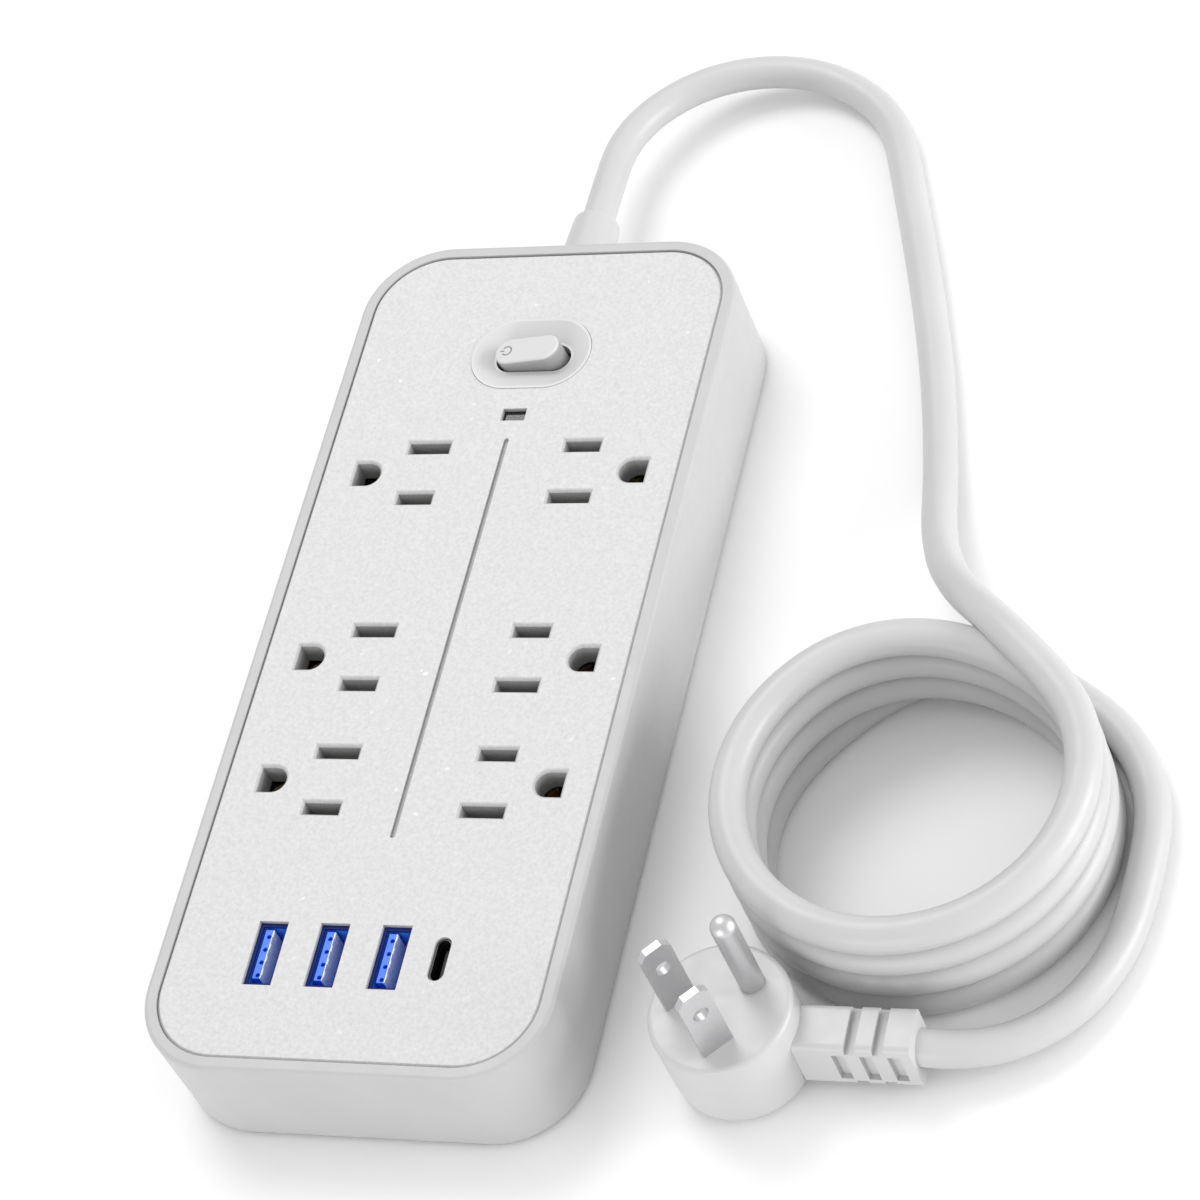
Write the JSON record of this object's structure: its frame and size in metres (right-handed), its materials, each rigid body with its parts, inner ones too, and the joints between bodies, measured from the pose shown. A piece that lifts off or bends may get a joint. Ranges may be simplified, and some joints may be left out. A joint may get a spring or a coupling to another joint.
{
  "type": "power strip",
  "caption": "Flat rounded power strip with grounded outlets in two columns, charging ports, a rocker switch in a dished bezel, and a coiled mains cord with a round flat plug.",
  "frame": {"origin": "on the surface the strip stands on, under the middle of its housing; the cord, its gland and plug are left out of that middle", "axes": "+Z out of the face, +Y along the length towards the cord, +X across the width, to the right with the cord at the top"},
  "size_m": [0.1827, 0.2629, 0.041],
  "materials": {
    "case_plastic": "smooth satin white",
    "panel_plastic": "fine sparkle-grained matt white",
    "cover_plastic": "fine spark-eroded white",
    "foot_rubber": "matt",
    "screw_steel": "zinc plated",
    "switch_plastic": "satin white",
    "black_plastic": "matt black",
    "smoked_window": "smoked clear",
    "lamp_resin": "clear resin",
    "contact_brass": "stamped",
    "tray_plastic": "nylon",
    "port_steel": "nickel plated",
    "navy_plastic": "moulded",
    "blue_plastic": "moulded",
    "port_contact_metal": "plated",
    "board_laminate": "solder mask",
    "ferrite": "sintered",
    "capacitor_can": "sleeved",
    "varistor_coating": "epoxy dipped",
    "hot_insulation": "vinyl",
    "neutral_insulation": "vinyl",
    "ground_insulation": "vinyl",
    "cord_jacket": "satin white vinyl",
    "plug_plastic": "satin white vinyl",
    "blade_metal": "nickel plated"
  },
  "bodies": {
    "strip": {"case_screws": "screw_steel", "charging_board": "board_laminate", "charging_controller": "black_plastic", "contact_tray_left": "tray_plastic", "contact_tray_right": "tray_plastic", "cord_clamp": "tray_plastic", "cord_gland": "cord_jacket", "face_panel": "panel_plastic", "filter_capacitor": "capacitor_can", "ground_bus_left": "contact_brass", "ground_bus_right": "contact_brass", "ground_pin": "blade_metal", "ground_wire": "ground_insulation", "hot_blade": "blade_metal", "hot_bus_left": "contact_brass", "hot_bus_right": "contact_brass", "hot_wire": "hot_insulation", "housing_shell": "case_plastic", "indicator_holder": "black_plastic", "indicator_lamp": "lamp_resin", "indicator_window": "smoked_window", "inner_cord_end": "cord_jacket", "inner_screws": "screw_steel", "neutral_blade": "blade_metal", "neutral_bus_left": "contact_brass", "neutral_bus_right": "contact_brass", "neutral_wire": "neutral_insulation", "plug_base_cap": "plug_plastic", "plug_body": "plug_plastic", "plug_strain_relief": "plug_plastic", "port_contacts_1": "port_contact_metal", "port_contacts_2": "port_contact_metal", "port_contacts_3": "port_contact_metal", "port_liner_1": "navy_plastic", "port_liner_2": "navy_plastic", "port_liner_3": "navy_plastic", "port_shell_1": "port_steel", "port_shell_2": "port_steel", "port_shell_3": "port_steel", "port_tongue_1": "blue_plastic", "port_tongue_2": "blue_plastic", "port_tongue_3": "blue_plastic", "power_cord_coil": "cord_jacket", "power_cord_lead": "cord_jacket", "power_cord_tail": "cord_jacket", "rear_cover": "cover_plastic", "reversible_port_shell": "port_steel", "reversible_port_tongue": "black_plastic", "rubber_feet": "foot_rubber", "surge_board": "board_laminate", "surge_varistor": "varistor_coating", "switch_bezel": "switch_plastic", "switch_body": "black_plastic", "switch_terminals": "contact_brass", "switched_wire": "hot_insulation", "thermal_fuse": "port_steel", "transformer": "ferrite"},
    "rocker": {"power_rocker": "switch_plastic", "rocker_plunger": "contact_brass"},
    "lever": {"switch_lever": "contact_brass"}
  },
  "joints": [
    {"name": "rocker_tilt", "type": "hinge", "parent": "strip", "child": "rocker", "pos_m": [0, 0.069, 0.0221], "axis": [0, 1, 0], "range_deg": [0, 15]},
    {"name": "lever_tilt", "type": "hinge", "parent": "strip", "child": "lever", "pos_m": [0, 0.069, 0.01075], "axis": [0, 1, 0], "range_deg": [-16, 0]}
  ],
  "couplings": [
    {"joint": "lever_tilt", "follows": "rocker_tilt", "ratio": -1.0666}
  ]
}
